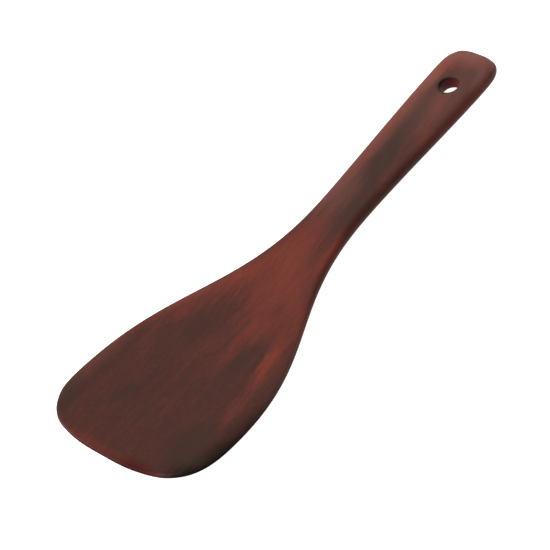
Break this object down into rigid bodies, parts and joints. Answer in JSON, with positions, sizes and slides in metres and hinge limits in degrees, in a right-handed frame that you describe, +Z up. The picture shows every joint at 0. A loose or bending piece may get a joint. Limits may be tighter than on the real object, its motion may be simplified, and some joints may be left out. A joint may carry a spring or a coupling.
{
  "type": "rice paddle",
  "caption": "Flat wooden rice paddle with a broad, gently hollowed blade, a slim rounded handle and a hanging hole through the handle's end.",
  "frame": {"origin": "centre of the bounding box's underside, midway along the paddle, on the surface that it lies on", "axes": "+X from the blade's end to the handle's end, +Y across the blade, +Z up out of the hollow face"},
  "size_m": [0.21, 0.0714, 0.0098],
  "materials": {
    "hardwood": "satin oiled reddish-brown hardwood, grain along the length"
  },
  "bodies": {
    "root": {"paddle": "hardwood"}
  },
  "joints": []
}
